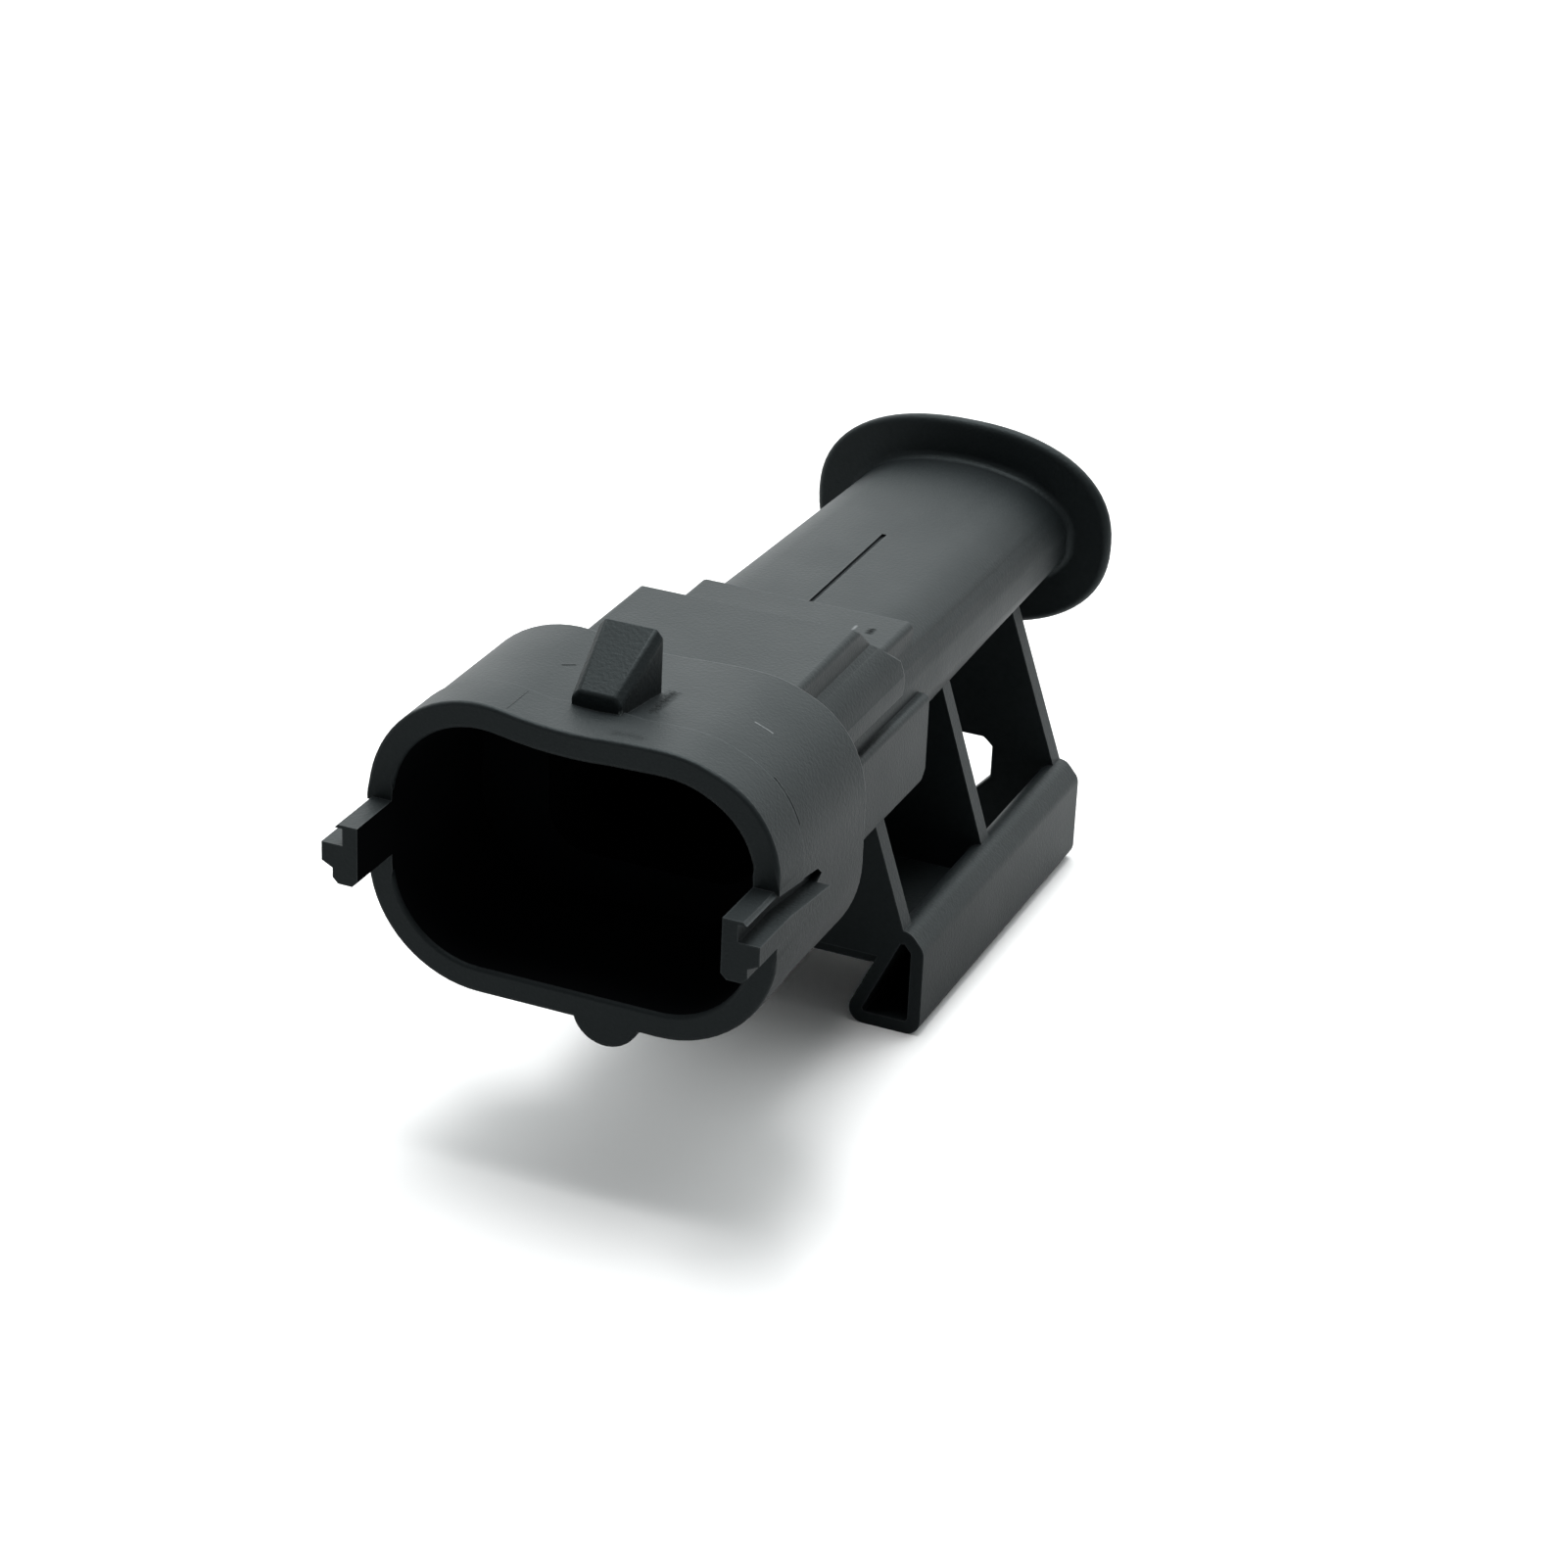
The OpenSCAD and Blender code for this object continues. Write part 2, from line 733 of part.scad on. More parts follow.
// Outer cage of a terminal, with a seam underneath and a locking lance on top
module sleeve() {
    lance_end = pocket_end - lance_stop - stop_gap;
    lance_start = lance_end - lance_len;
    top = sleeve_h / 2;
    color("#b3ada0") {
        difference() {
            section(sleeve_start, sleeve_start + sleeve_len)
                square([sleeve_w, sleeve_h], center = true);
            section(sleeve_start + sleeve_t, sleeve_start + 2 * sleeve_len)
                square([sleeve_w - 2 * sleeve_t, sleeve_h - 2 * sleeve_t], center = true);
            section(0, partition_end + pocket_len)
                square([blade_t + 2 * slot_gap, blade_w + 2 * slot_gap], center = true);
            translate([-seam_gap / 2, 0, -sleeve_h])
                cube([seam_gap, 2 * pocket_end, sleeve_h]);
            translate([-lance_w / 2 - seam_gap, lance_start, 0])
                cube([lance_w + 2 * seam_gap, lance_len + seam_gap, sleeve_h]);
        }
        profile(lance_w)
            polygon([
                [lance_start - sleeve_t, top - sleeve_t], [lance_start, top - sleeve_t],
                [lance_end, top - sleeve_t + lance_lift], [lance_end, top + lance_lift],
                [lance_start, top], [lance_start - sleeve_t, top]
            ]);
    }
}

// Single-wire seal: a neck for the terminal's grip, then lips that fill the bore
module seal() {
    pitch = lips_len / lips;
    lip_r = pitch / 3;
    color("#d5281f")
        turned()
            difference() {
                union() {
                    translate([0, seal_start])
                        square([neck_d / 2, neck_len + pitch / 2]);
                    translate([0, lips_start])
                        square([core_d / 2, lips_len]);
                    for (i = [0:lips - 1])
                        translate([0, lips_start + (i + 0.5) * pitch]) {
                            translate([bore_d / 2 - lip_r, 0])
                                circle(lip_r, $fn = 32);
                            translate([0, -lip_r])
                                square([bore_d / 2 - lip_r, 2 * lip_r]);
                        }
                }
                square([wire_hole_d / 2, 2 * flange_end]);
                translate([-bore_d, 0])
                    square([bore_d, 2 * flange_end]);
            }
}

// Puts a piece on the axis of the left (-1) or right (1) bore
module in_bore(side) {
    translate([side * bore_pitch / 2, 0, tube_z])
        children();
}

housing();
in_bore(-1) contact();  // contact_left
in_bore(1) contact();  // contact_right
in_bore(-1) sleeve();  // sleeve_left
in_bore(1) sleeve();  // sleeve_right
in_bore(-1) seal();  // seal_left
in_bore(1) seal();  // seal_right
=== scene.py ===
"""Looks of the sealed two-way connector, in metres, round the frame of its CAD model."""
import json
import math

import bmesh
import bpy
from mathutils import Matrix, Vector
from mathutils.bvhtree import BVHTree

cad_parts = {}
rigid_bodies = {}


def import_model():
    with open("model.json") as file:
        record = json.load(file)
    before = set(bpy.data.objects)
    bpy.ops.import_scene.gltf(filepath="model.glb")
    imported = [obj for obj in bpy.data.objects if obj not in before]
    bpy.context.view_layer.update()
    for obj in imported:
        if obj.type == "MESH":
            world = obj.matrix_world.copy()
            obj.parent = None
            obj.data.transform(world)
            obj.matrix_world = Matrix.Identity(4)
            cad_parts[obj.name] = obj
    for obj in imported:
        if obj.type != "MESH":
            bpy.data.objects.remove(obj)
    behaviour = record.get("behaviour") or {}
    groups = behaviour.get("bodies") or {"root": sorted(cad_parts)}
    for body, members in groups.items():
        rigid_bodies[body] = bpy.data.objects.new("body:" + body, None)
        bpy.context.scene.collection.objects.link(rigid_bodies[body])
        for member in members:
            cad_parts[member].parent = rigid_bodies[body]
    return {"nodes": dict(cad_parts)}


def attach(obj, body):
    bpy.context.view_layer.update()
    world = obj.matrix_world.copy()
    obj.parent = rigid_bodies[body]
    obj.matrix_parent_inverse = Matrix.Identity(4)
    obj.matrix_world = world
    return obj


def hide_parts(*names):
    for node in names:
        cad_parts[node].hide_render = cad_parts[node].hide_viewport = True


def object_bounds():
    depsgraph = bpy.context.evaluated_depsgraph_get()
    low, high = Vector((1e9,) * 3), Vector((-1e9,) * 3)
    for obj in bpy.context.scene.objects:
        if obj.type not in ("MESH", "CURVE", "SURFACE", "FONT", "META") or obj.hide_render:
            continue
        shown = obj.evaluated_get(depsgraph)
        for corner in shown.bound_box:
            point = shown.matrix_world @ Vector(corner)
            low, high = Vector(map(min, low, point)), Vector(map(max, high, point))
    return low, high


MM = 0.001


def clear_scene():
    """Removes whatever the empty file starts with."""
    for thing in list(bpy.data.objects):
        bpy.data.objects.remove(thing)


clear_scene()
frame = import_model()
cad_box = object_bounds()


# ---- Shader groups, each built once and used in several materials ----

def new_group(name, inputs, outputs):
    """A node group with inputs given as name: value, a tuple being a vector, and outputs as name: type."""
    group = bpy.data.node_groups.new(name, "ShaderNodeTree")
    for label, value in inputs.items():
        kind = "NodeSocketVector" if isinstance(value, tuple) else "NodeSocketFloat"
        socket = group.interface.new_socket(label, in_out="INPUT", socket_type=kind)
        socket.default_value = value
    for label, kind in outputs.items():
        group.interface.new_socket(label, in_out="OUTPUT", socket_type=kind)
    start = group.nodes.new("NodeGroupInput")
    end = group.nodes.new("NodeGroupOutput")
    return group, start, end


def add(tree, kind, **settings):
    """A shader node of a kind, with its settings."""
    node = tree.nodes.new("ShaderNode" + kind)
    for name, value in settings.items():
        setattr(node, name, value)
    return node


def math_node(tree, operation, first, second):
    """A Math node; each operand is a socket or a number."""
    node = add(tree, "Math", operation=operation)
    for slot, operand in enumerate((first, second)):
        if isinstance(operand, (int, float)):
            node.inputs[slot].default_value = operand
        else:
            tree.links.new(operand, node.inputs[slot])
    return node.outputs[0]


def noise(tree, scale, detail):
    """Noise over the object's own coordinates, with features of about 1 / scale metres."""
    node = add(tree, "TexNoise")
    node.inputs["Detail"].default_value = detail
    if isinstance(scale, (int, float)):
        node.inputs["Scale"].default_value = scale
    else:
        tree.links.new(scale, node.inputs["Scale"])
    tree.links.new(add(tree, "TexCoord").outputs["Object"], node.inputs["Vector"])
    return node.outputs["Fac"]


def build_grain_group():
    """Fine moulded grain: a height for bump, and a slow mottle for colour and roughness."""
    group, start, end = new_group(
        "moulded_grain",
        {"Grain Scale": 6000.0, "Mottle Scale": 300.0},
        {"Height": "NodeSocketFloat", "Mottle": "NodeSocketFloat"},
    )
    fine = noise(group, start.outputs["Grain Scale"], 3.0)
    mottle = noise(group, start.outputs["Mottle Scale"], 4.0)
    group.links.new(fine, end.inputs["Height"])
    group.links.new(mottle, end.inputs["Mottle"])
    return group


def build_edge_highlight_group():
    """Mask of the convex edges, for a painted highlight where they catch the light."""
    group, start, end = new_group(
        "painted_edge_highlight",
        {"Spread": 0.0002, "Breakup Scale": 1500.0},
        {"Mask": "NodeSocketFloat"},
    )
    bevel = add(group, "Bevel", samples=4)
    group.links.new(start.outputs["Spread"], bevel.inputs["Radius"])
    flat = add(group, "NewGeometry").outputs["Normal"]
    turn = add(group, "VectorMath", operation="DOT_PRODUCT")
    group.links.new(bevel.outputs["Normal"], turn.inputs[0])
    group.links.new(flat, turn.inputs[1])
    bend = math_node(group, "SUBTRACT", 1.0, turn.outputs["Value"])
    broken = math_node(group, "MULTIPLY", bend, noise(group, start.outputs["Breakup Scale"], 2.0))
    mask = math_node(group, "MULTIPLY", broken, 8.0)
    mask.node.use_clamp = True
    group.links.new(mask, end.inputs["Mask"])
    return group


def vector_node(tree, operation, first, second):
    """A Vector Math node on two sockets, the second being the scale where it scales."""
    node = add(tree, "VectorMath", operation=operation)
    tree.links.new(first, node.inputs[0])
    tree.links.new(second, node.inputs["Scale"] if operation == "SCALE" else node.inputs[1])
    return node


def build_stroke_group():
    """Mask of one short stroke on the skin, from one point to another, broken up by noise."""
    group, start, end = new_group(
        "stroke",
        {"From Point": (0.0, 0.0, 0.0), "To Point": (0.0, 0.0, 0.001), "Width": 0.0001, "Strength": 1.0},
        {"Mask": "NodeSocketFloat"},
    )
    place = add(group, "TexCoord").outputs["Object"]
    first = start.outputs["From Point"]
    along = vector_node(group, "SUBTRACT", start.outputs["To Point"], first).outputs["Vector"]
    apart = vector_node(group, "SUBTRACT", place, first).outputs["Vector"]
    share = math_node(group, "DIVIDE", vector_node(group, "DOT_PRODUCT", apart, along).outputs["Value"],
                      vector_node(group, "DOT_PRODUCT", along, along).outputs["Value"])
    share.node.use_clamp = True
    nearest = vector_node(group, "SCALE", along, share).outputs["Vector"]
    off = vector_node(group, "DISTANCE", apart, nearest).outputs["Value"]
    ragged = math_node(group, "MULTIPLY", noise(group, 5000.0, 3.0), 1.2)
    inside = math_node(group, "SUBTRACT", 1.6, math_node(group, "ADD", ragged, math_node(
        group, "DIVIDE", off, start.outputs["Width"])))
    inside.node.use_clamp = True
    group.links.new(math_node(group, "MULTIPLY", inside, start.outputs["Strength"]), end.inputs["Mask"])
    return group


GRAIN = build_grain_group()
STROKE = build_stroke_group()
EDGE_HIGHLIGHT = build_edge_highlight_group()


# ---- Materials ----

def place_group(tree, group, **values):
    """Puts a shared group into a material, with its own values."""
    node = add(tree, "Group", node_tree=group)
    for label, value in values.items():
        node.inputs[label.replace("_", " ")].default_value = value
    return node


def mix_colour(tree, mask, low, high):
    """Blends two colours, each a tuple or a socket, by a mask."""
    node = add(tree, "Mix", data_type="RGBA")
    tree.links.new(mask, node.inputs["Factor"])
    for socket, colour in ((node.inputs[6], low), (node.inputs[7], high)):
        if isinstance(colour, tuple):
            socket.default_value = (*colour, 1.0)
        else:
            tree.links.new(colour, socket)
    return node.outputs[2]


def spread(tree, value, low, high):
    """Maps a 0 to 1 value onto low to high."""
    node = add(tree, "MapRange")
    tree.links.new(value, node.inputs["Value"])
    node.inputs["To Min"].default_value = low
    node.inputs["To Max"].default_value = high
    return node.outputs["Result"]


def new_material(name):
    """A material, its node tree and its Principled shader."""
    material = bpy.data.materials.new(name)
    material.use_nodes = True
    tree = material.node_tree
    return material, tree, tree.nodes["Principled BSDF"]


def bump(tree, shader, height, distance):
    """Raises the shader's surface by a 0 to 1 height times a distance in metres."""
    node = add(tree, "Bump")
    node.inputs["Distance"].default_value = distance
    node.inputs["Strength"].default_value = 1.0
    tree.links.new(height, node.inputs["Height"])
    tree.links.new(node.outputs["Normal"], shader.inputs["Normal"])


# Height the shroud's right shoulder loses, and where across the shroud that sets in and fades out again
SHOULDER_DROP = 0.33 * MM
SHOULDER_START = 2.0 * MM
SHOULDER_RUN_IN = 3.5 * MM
SHOULDER_FADE = 7.5 * MM
SHOULDER_RUN_OUT = 4.0 * MM
# How far back and how low on the shroud it is lowered
SHOULDER_END = 11.9 * MM
SHOULDER_LOW = 3.0 * MM
# Half width, front and back, and foot of the latch ramp in the CAD mesh, and the height its top lies above
RAMP_HALF = 1.91 * MM
RAMP_Y = (2.79 * MM, 7.01 * MM)
RAMP_FOOT = 7.9 * MM
RAMP_TOP = 8.5 * MM
# At the ramp's front: how far each side moves in, the front moves back and the top comes down
RAMP_TAPER_RIGHT = 0.6 * MM
RAMP_TAPER_LEFT = 0.3 * MM
RAMP_SETBACK = 0.35 * MM
RAMP_DROP = 0.3 * MM


def eased(value):
    """A value held between 0 and 1, with a soft start and end."""
    value = min(max(value, 0.0), 1.0)
    return value * value * (3.0 - 2.0 * value)


def settled(point):
    """A point of the CAD housing's shroud, with its latch ramp tapered and its top's right shoulder lowered."""
    on_ramp = abs(point.x) < RAMP_HALF and RAMP_Y[0] < point.y < RAMP_Y[1] and point.z > RAMP_FOOT
    if on_ramp:
        share = (RAMP_Y[1] - point.y) / (RAMP_Y[1] - RAMP_Y[0])
        inward = RAMP_TAPER_RIGHT if point.x > 0 else -RAMP_TAPER_LEFT
        across = point.x - inward * share * min(abs(point.x) / MM, 1.0)
        drop = RAMP_DROP * share if point.z > RAMP_TOP else 0.0
        return Vector((across, point.y + RAMP_SETBACK * share, point.z - drop))
    if point.y > SHOULDER_END or point.z < SHOULDER_LOW or point.x < SHOULDER_START:
        return point.copy()
    run_in = eased((point.x - SHOULDER_START) / SHOULDER_RUN_IN)
    share = run_in * (1.0 - eased((point.x - SHOULDER_FADE) / SHOULDER_RUN_OUT))
    return Vector((point.x, point.y, point.z - SHOULDER_DROP * share))


# Marks on the housing's top, and in the dark list lines of painted shade: from and to (x and y, in mm), half
# width in mm and strength
DARK_MARKS_AND_SHADE = [
    ((-4.0, 7.0), (-3.5, 7.5), 0.1, 0.8),
    ((-4.0, 0.5), (-4.0, 3.0), 0.06, 0.35),
    # darker beside the right side of the latch ramp
    ((2.5, 4.5), (2.5, 7.0), 0.5, 0.8),
    ((2.0, 1.0), (3.5, 1.0), 0.45, 0.4),
    # painted shade: the shaded line along the collar's step on the shroud's right side, this entry and the next
    ((10.0, 3.5), (11.0, 3.5), 0.1, 0.8),
    ((11.0, 3.5), (11.5, 3.5), 0.1, 0.8),
    ((5.0, 28.5), (5.0, 29.0), 0.3, 1.0),
]
PALE_MARKS = [
    ((7.5, 6.5), (8.5, 6.5), 0.07, 0.7),
    ((4.0, 28.5), (4.0, 29.0), 0.13, 0.6),
]


# A height in mm that is well above the housing
WELL_ABOVE = 50.0


def skin_point(faces, place):
    """The highest point of the housing's skin at a place given in mm."""
    above = Vector((place[0], place[1], WELL_ABOVE)) * MM
    return settled(faces.ray_cast(above, Vector((0.0, 0.0, -1.0)))[0])


def strokes(tree, stroke_list):
    """One mask over a list of strokes; the dark list holds painted shade as well as marks."""
    skin = frame["nodes"]["housing"].data
    faces = BVHTree.FromPolygons([v.co for v in skin.vertices], [tuple(p.vertices) for p in skin.polygons])
    mask = None
    for begin, finish, width, strength in stroke_list:
        one = place_group(tree, STROKE, From_Point=tuple(skin_point(faces, begin)),
                          To_Point=tuple(skin_point(faces, finish)), Width=width * MM,
                          Strength=strength).outputs["Mask"]
        mask = one if mask is None else math_node(tree, "MAXIMUM", mask, one)
    return mask


def make_black_nylon():
    """Glass-filled black nylon, matt from the mould, with a painted highlight along its convex edges, a few
    marks, and painted shade along the collar's step.
    """
    material, tree, shader = new_material("black_nylon")
    shader.inputs["Specular IOR Level"].default_value = 0.27
    shader.inputs["Specular Tint"].default_value = (0.84, 0.98, 1.0, 1.0)
    grain = place_group(tree, GRAIN, Grain_Scale=5000.0, Mottle_Scale=260.0)
    # painted highlight: the convex edges are lightened where light catches them
    highlit_edges = place_group(tree, EDGE_HIGHLIGHT, Spread=0.00018, Breakup_Scale=900.0)
    skin = mix_colour(tree, grain.outputs["Mottle"], (0.0044, 0.006, 0.0068), (0.0072, 0.0092, 0.01))
    highlit_skin = mix_colour(tree, highlit_edges.outputs["Mask"], skin, (0.035, 0.039, 0.041))
    scratched = mix_colour(tree, strokes(tree, PALE_MARKS), highlit_skin, (0.2, 0.21, 0.215))
    # painted shade among the marks: the dark strokes also darken the collar's step line
    dark = strokes(tree, DARK_MARKS_AND_SHADE)
    tree.links.new(mix_colour(tree, dark, scratched, (0.001, 0.0012, 0.0014)), shader.inputs["Base Color"])
    rough = spread(tree, grain.outputs["Mottle"], 0.5, 0.6)
    duller = math_node(tree, "MULTIPLY", dark, 0.4)
    tree.links.new(math_node(tree, "ADD", rough, duller), shader.inputs["Roughness"])
    deeper = math_node(tree, "ADD", math_node(tree, "MULTIPLY", dark, 9.0), 1.0)
    height = math_node(tree, "MULTIPLY", grain.outputs["Height"], deeper)
    bump(tree, shader, math_node(tree, "SUBTRACT", height, math_node(tree, "MULTIPLY", dark, 2.0)), 0.000022)
    return material


def make_shaded_mouth_nylon():
    """The same nylon for the inside of the mouth, with painted shade for the deep recess: darker and duller
    than the outside.
    """
    material, tree, shader = new_material("mouth_nylon_painted_shade")
    # painted shade: the low specular and the darker colour below stand in for the shade inside the mouth
    shader.inputs["Specular IOR Level"].default_value = 0.05
    grain = place_group(tree, GRAIN, Grain_Scale=5000.0, Mottle_Scale=260.0)
    skin = mix_colour(tree, grain.outputs["Mottle"], (0.0016, 0.002, 0.0025), (0.0022, 0.0028, 0.0034))
    tree.links.new(skin, shader.inputs["Base Color"])
    shader.inputs["Roughness"].default_value = 0.9
    return material


def make_tinned_copper():
    """Tin-plated sheet, drawn along the terminal."""
    material, tree, shader = new_material("tinned_copper")
    shader.inputs["Metallic"].default_value = 1.0
    grain = place_group(tree, GRAIN, Grain_Scale=9000.0, Mottle_Scale=700.0)
    tint = mix_colour(tree, grain.outputs["Mottle"], (0.62, 0.60, 0.56), (0.80, 0.79, 0.76))
    tree.links.new(tint, shader.inputs["Base Color"])
    tree.links.new(spread(tree, grain.outputs["Mottle"], 0.2, 0.36), shader.inputs["Roughness"])
    bump(tree, shader, grain.outputs["Height"], 0.000004)
    return material


def make_spring_steel():
    """Bright spring steel of the terminals' sleeves."""
    material, tree, shader = new_material("spring_steel")
    shader.inputs["Metallic"].default_value = 1.0
    grain = place_group(tree, GRAIN, Grain_Scale=12000.0, Mottle_Scale=900.0)
    tint = mix_colour(tree, grain.outputs["Mottle"], (0.50, 0.50, 0.50), (0.64, 0.64, 0.65))
    tree.links.new(tint, shader.inputs["Base Color"])
    tree.links.new(spread(tree, grain.outputs["Mottle"], 0.24, 0.4), shader.inputs["Roughness"])
    bump(tree, shader, grain.outputs["Height"], 0.000003)
    return material


def make_red_silicone():
    """Red silicone rubber of the wire seals, with a faint bloom."""
    material, tree, shader = new_material("red_silicone")
    shader.inputs["Specular IOR Level"].default_value = 0.45
    grain = place_group(tree, GRAIN, Grain_Scale=5000.0, Mottle_Scale=500.0)
    tint = mix_colour(tree, grain.outputs["Mottle"], (0.62, 0.018, 0.012), (0.80, 0.045, 0.025))
    tree.links.new(tint, shader.inputs["Base Color"])
    tree.links.new(spread(tree, grain.outputs["Mottle"], 0.42, 0.58), shader.inputs["Roughness"])
    bump(tree, shader, grain.outputs["Height"], 0.000008)
    return material


# ---- The housing's skin, from its CAD mesh ----

TUBE_CENTRE_Z = -0.3 * MM
BLOCK_END = 31.0 * MM
FLANGE_FRONT = 56.3 * MM
COLLAR_END = 3.2 * MM
# Half width, half height and corner radius of the tube and its flange in the CAD mesh
PLAIN_TUBE = (7.35 * MM, 3.7 * MM, 3.0 * MM)
PLAIN_FLANGE = (9.75 * MM, 6.5 * MM, 6.3 * MM)
FLANGE_T = 0.9 * MM
# Spacing of the edges laid along the flats, and their number on each side of the middle
CUT_PITCH = 0.75 * MM
CUTS_A_SIDE = 5
# Half width, half height and fullness of the oval that each is drawn out to
OVAL_TUBE = (7.35 * MM, 4.0 * MM, 2.1)
OVAL_FLANGE = (10.0 * MM, 6.7 * MM, 2.3)
# How far under and over the tube's outline its skin lies, from the groove's floor to the fillet at the flange
SKIN_UNDER = 0.3 * MM
SKIN_OVER = 0.7 * MM
# Radii of the rim and of the other outer edges, and the turn from which an edge counts as sharp
RIM_ROUND = 0.22 * MM
EDGE_ROUND = 0.13 * MM
SHARP_TURN = math.radians(35)
# Where the side keys start across the shroud, half their height, and where they end
KEY_START_X = 9.8 * MM
KEY_HALF_H = 2.6 * MM
KEY_END_Y = 6.0 * MM
# Half width of the strip along the tube's top that holds the groove
GROOVE_STRIP = 0.3 * MM
# Depth, half width and half height of the space that the mouth's inside lies in
MOUTH_DEPTH = 22.0 * MM
MOUTH_HALF_W = 11.3 * MM
MOUTH_HALF_H = 8.0 * MM
# Gap between the rails' lips, the rails' height, half the ribs' width at that height, walls and rounding
LIP_GAP = 12.5 * MM
RAIL_HEIGHT = 6.7 * MM
RAIL_FOOT = 9.4 * MM
RAIL_WALL = 0.8 * MM
RAIL_ROUND = 0.95 * MM
# Top of the plate between the rails above the sole, its thickness, and its front and back
PLATE_TOP = 4.65 * MM
PLATE_T = 0.8 * MM
PLATE_Y = (25.9 * MM, 38.4 * MM)
# A distance too small to matter
HAIR = 0.01 * MM


def rounded_reach(outline, angle):
    """Distance from the middle of a rounded rectangle to its edge, in the direction of an angle."""
    half_w, half_h, corner = outline
    step = (abs(math.cos(angle)), abs(math.sin(angle)))
    to_side = half_w / max(step[0], 1e-9)
    to_top = half_h / max(step[1], 1e-9)
    if to_side * step[1] <= half_h - corner:
        return to_side
    if to_top * step[0] <= half_w - corner:
        return to_top
    middle = (half_w - corner, half_h - corner)
    along = middle[0] * step[0] + middle[1] * step[1]
    apart = middle[0] ** 2 + middle[1] ** 2 - corner ** 2
    return along + math.sqrt(along ** 2 - apart)


def oval_reach(outline, angle):
    """Distance from the middle of a full oval to its edge, in the direction of an angle."""
    half_w, half_h, fullness = outline
    across = abs(math.cos(angle) / half_w) ** fullness
    up = abs(math.sin(angle) / half_h) ** fullness
    return (across + up) ** (-1.0 / fullness)


def cut_tube_top(bm):
    """Lays edges along the flats of the tube and its flange, so that they can be drawn out to ovals."""
    front = BLOCK_END - 10 * HAIR
    low = TUBE_CENTRE_Z - PLAIN_FLANGE[1] - 10 * HAIR
    for number in range(-CUTS_A_SIDE, CUTS_A_SIDE + 1):
        near = [f for f in bm.faces if min(v.co.y for v in f.verts) > front
                and min(v.co.z for v in f.verts) > low]
        near += list({e for f in near for e in f.edges}) + list({v for f in near for v in f.verts})
        bmesh.ops.bisect_plane(bm, geom=near, dist=1e-7, plane_co=(number * CUT_PITCH, 0.0, 0.0),
                               plane_no=(1.0, 0.0, 0.0))


def draw_out_tube(bm):
    """Gives the flange its oval section, and the wire tube one that turns oval towards the flange."""
    for vert in bm.verts:
        vert.co = settled(vert.co)
        if vert.co.y < BLOCK_END - HAIR:
            continue
        up = vert.co.z - TUBE_CENTRE_Z
        angle = math.atan2(up, vert.co.x)
        reach = math.hypot(vert.co.x, up)
        proud = reach - rounded_reach(PLAIN_TUBE, angle)
        flange_proud = reach - rounded_reach(PLAIN_FLANGE, angle)
        if vert.co.y > FLANGE_FRONT - HAIR and abs(flange_proud) < 0.6 * FLANGE_T:
            wanted = oval_reach(OVAL_FLANGE, angle) + flange_proud
        elif -SKIN_UNDER < proud < SKIN_OVER:
            wanted = oval_reach(OVAL_TUBE, angle) + proud
        else:
            continue
        share = min((vert.co.y - BLOCK_END) / (FLANGE_FRONT - BLOCK_END), 1.0)
        wanted = reach + (wanted - reach) * share
        vert.co.x = wanted * math.cos(angle)
        vert.co.z = TUBE_CENTRE_Z + wanted * math.sin(angle)


def lies_in_mouth(face):
    """Whether a face belongs to the inside of the mouth."""
    centre = face.calc_center_median()
    if not 10 * HAIR < centre.y < MOUTH_DEPTH or abs(centre.x) > MOUTH_HALF_W or abs(centre.z) > MOUTH_HALF_H:
        return False
    inward = face.normal.x * centre.x + face.normal.z * centre.z < -0.1 * centre.length
    return inward or (face.normal.y < -0.7 and centre.y > 1.0 * MM)


def edge_round(edge):
    """Radius that an edge of the moulding gets, or none."""
    if len(edge.link_faces) != 2 or not edge.is_convex or edge.calc_face_angle() < SHARP_TURN:
        return 0.0
    middle = (edge.verts[0].co + edge.verts[1].co) / 2
    on_collar_step = abs(middle.y - COLLAR_END) < 5 * HAIR
    in_groove = abs(middle.x) < GROOVE_STRIP and middle.y > BLOCK_END
    on_key = abs(middle.x) > KEY_START_X and abs(middle.z) < KEY_HALF_H and middle.y < KEY_END_Y
    if on_collar_step or in_groove or on_key:
        return 0.0
    if max(abs(v.co.y) for v in edge.verts) < HAIR:
        return RIM_ROUND
    if any(lies_in_mouth(face) for face in edge.link_faces):
        return 0.0
    room = 0.4 * min(near.calc_length() for v in edge.verts for near in v.link_edges)
    return EDGE_ROUND if room > EDGE_ROUND else 0.0


def make_channel_plate():
    """A flat plate between the rails, from the first rib to the second and flush with the ribs' lower edges; it
    darkens the channel beneath it.
    """
    sole = cad_box[0].z
    crown = sole + RAIL_HEIGHT
    lean = (RAIL_FOOT - LIP_GAP / 2 - RAIL_WALL) / (RAIL_HEIGHT - RAIL_ROUND)
    front, back = PLATE_Y
    points = []
    for z in (sole + PLATE_TOP, sole + PLATE_TOP - PLATE_T):
        half = RAIL_FOOT - RAIL_WALL / 2 - (crown - z) * lean
        points += [(-half, front, z), (half, front, z), (half, back, z), (-half, back, z)]
    faces = [(0, 1, 2, 3), (7, 6, 5, 4), (0, 4, 5, 1), (1, 5, 6, 2), (2, 6, 7, 3), (3, 7, 4, 0)]
    mesh = bpy.data.meshes.new("channel_plate")
    mesh.from_pydata(points, [], faces)
    thing = bpy.data.objects.new("channel_plate", mesh)
    bpy.context.scene.collection.objects.link(thing)
    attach(thing, "root")
    return thing


